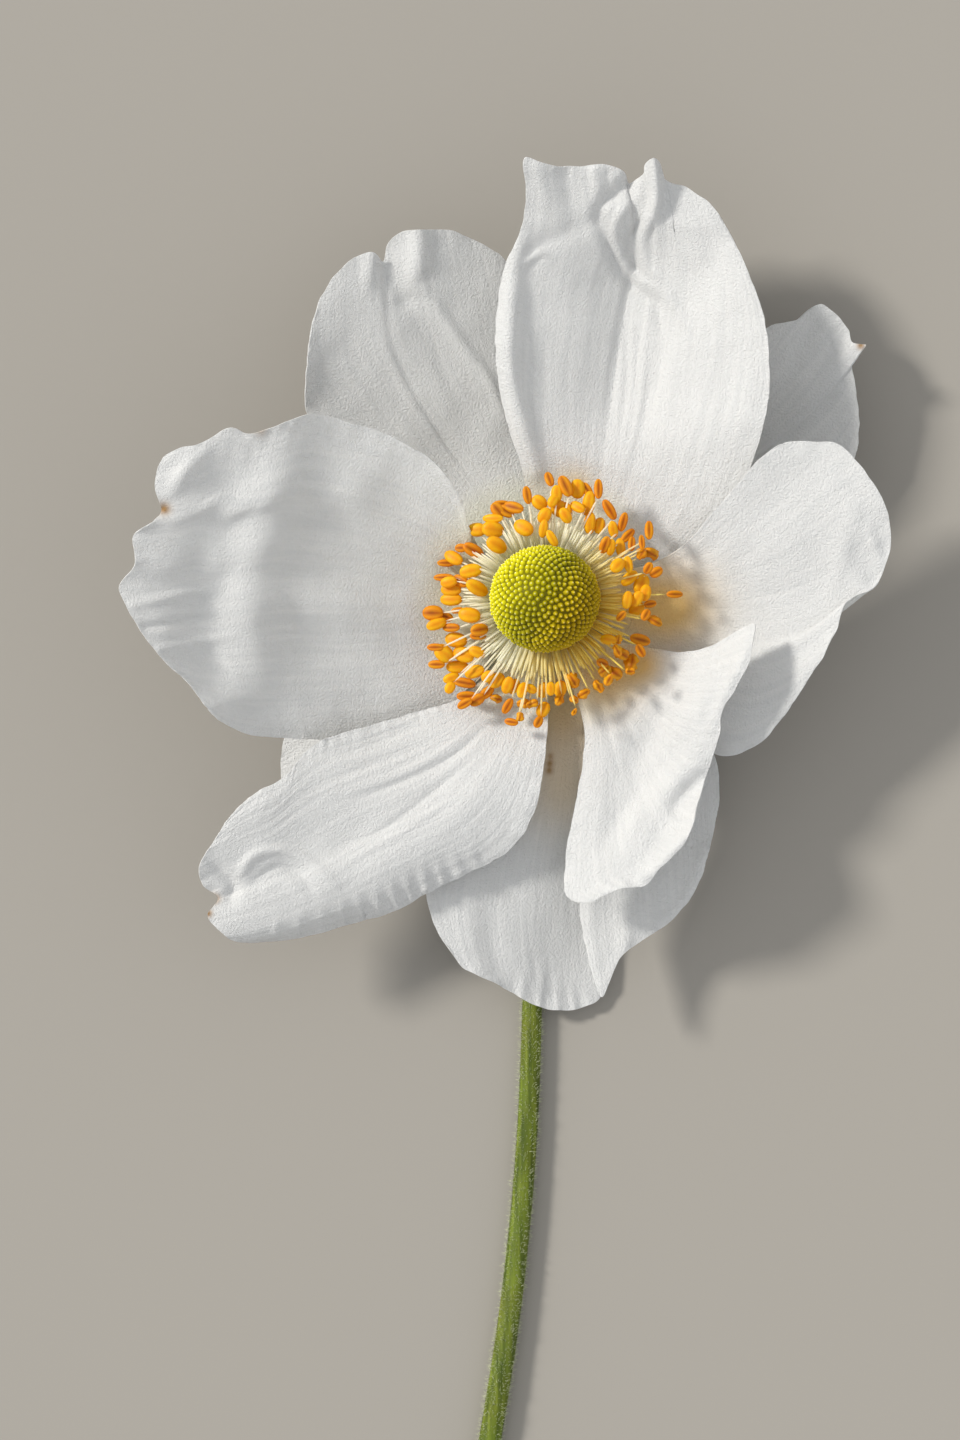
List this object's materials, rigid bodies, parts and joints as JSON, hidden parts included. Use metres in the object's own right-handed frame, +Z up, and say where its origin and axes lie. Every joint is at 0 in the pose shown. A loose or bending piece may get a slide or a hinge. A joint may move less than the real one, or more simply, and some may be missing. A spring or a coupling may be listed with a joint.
{
  "type": "japanese anemone flower",
  "caption": "White Japanese anemone flower with overlapping tepals, a ring of orange-yellow stamens and a green carpel head, cut with its stem and laid face up.",
  "frame": {"origin": "centre of the underside of the bounding box, on the surface that the flower lies on", "axes": "+Z up, the way the flower faces; -Y along the lying stem towards its cut end; +X to the right seen from above"},
  "size_m": [0.0624, 0.1204, 0.0197],
  "materials": {
    "tepal_white": "soft satin white with a fine glittering grain, translucent, faint lengthwise striations",
    "stem_green": "matte green, with short silky hairs",
    "carpel_green": "satin yellow-green, beaded",
    "stamen_orange": "powdery orange-yellow anther on a pale filament"
  },
  "bodies": {
    "root": {"stem": "stem_green", "carpel_head": "carpel_green", "tepal_top": "tepal_white", "tepal_left": "tepal_white", "tepal_lower_left": "tepal_white", "tepal_lower_right": "tepal_white", "tepal_right": "tepal_white", "tepal_upper_left": "tepal_white", "tepal_upper_right": "tepal_white", "tepal_left_under": "tepal_white", "tepal_bottom": "tepal_white", "tepal_lower_right_under": "tepal_white", "stamen_01": "stamen_orange", "stamen_02": "stamen_orange", "stamen_03": "stamen_orange", "stamen_04": "stamen_orange", "stamen_05": "stamen_orange", "stamen_06": "stamen_orange", "stamen_07": "stamen_orange", "stamen_08": "stamen_orange", "stamen_09": "stamen_orange", "stamen_10": "stamen_orange", "stamen_11": "stamen_orange", "stamen_12": "stamen_orange", "stamen_13": "stamen_orange", "stamen_14": "stamen_orange", "stamen_15": "stamen_orange", "stamen_16": "stamen_orange", "stamen_17": "stamen_orange", "stamen_18": "stamen_orange", "stamen_19": "stamen_orange", "stamen_20": "stamen_orange", "stamen_21": "stamen_orange", "stamen_22": "stamen_orange", "stamen_23": "stamen_orange", "stamen_24": "stamen_orange", "stamen_25": "stamen_orange", "stamen_26": "stamen_orange", "stamen_27": "stamen_orange", "stamen_28": "stamen_orange", "stamen_29": "stamen_orange", "stamen_30": "stamen_orange", "stamen_31": "stamen_orange", "stamen_32": "stamen_orange", "stamen_33": "stamen_orange", "stamen_34": "stamen_orange", "stamen_35": "stamen_orange", "stamen_36": "stamen_orange", "stamen_37": "stamen_orange", "stamen_38": "stamen_orange", "stamen_39": "stamen_orange", "stamen_40": "stamen_orange", "stamen_41": "stamen_orange", "stamen_42": "stamen_orange", "stamen_43": "stamen_orange", "stamen_44": "stamen_orange", "stamen_45": "stamen_orange"}
  },
  "joints": []
}
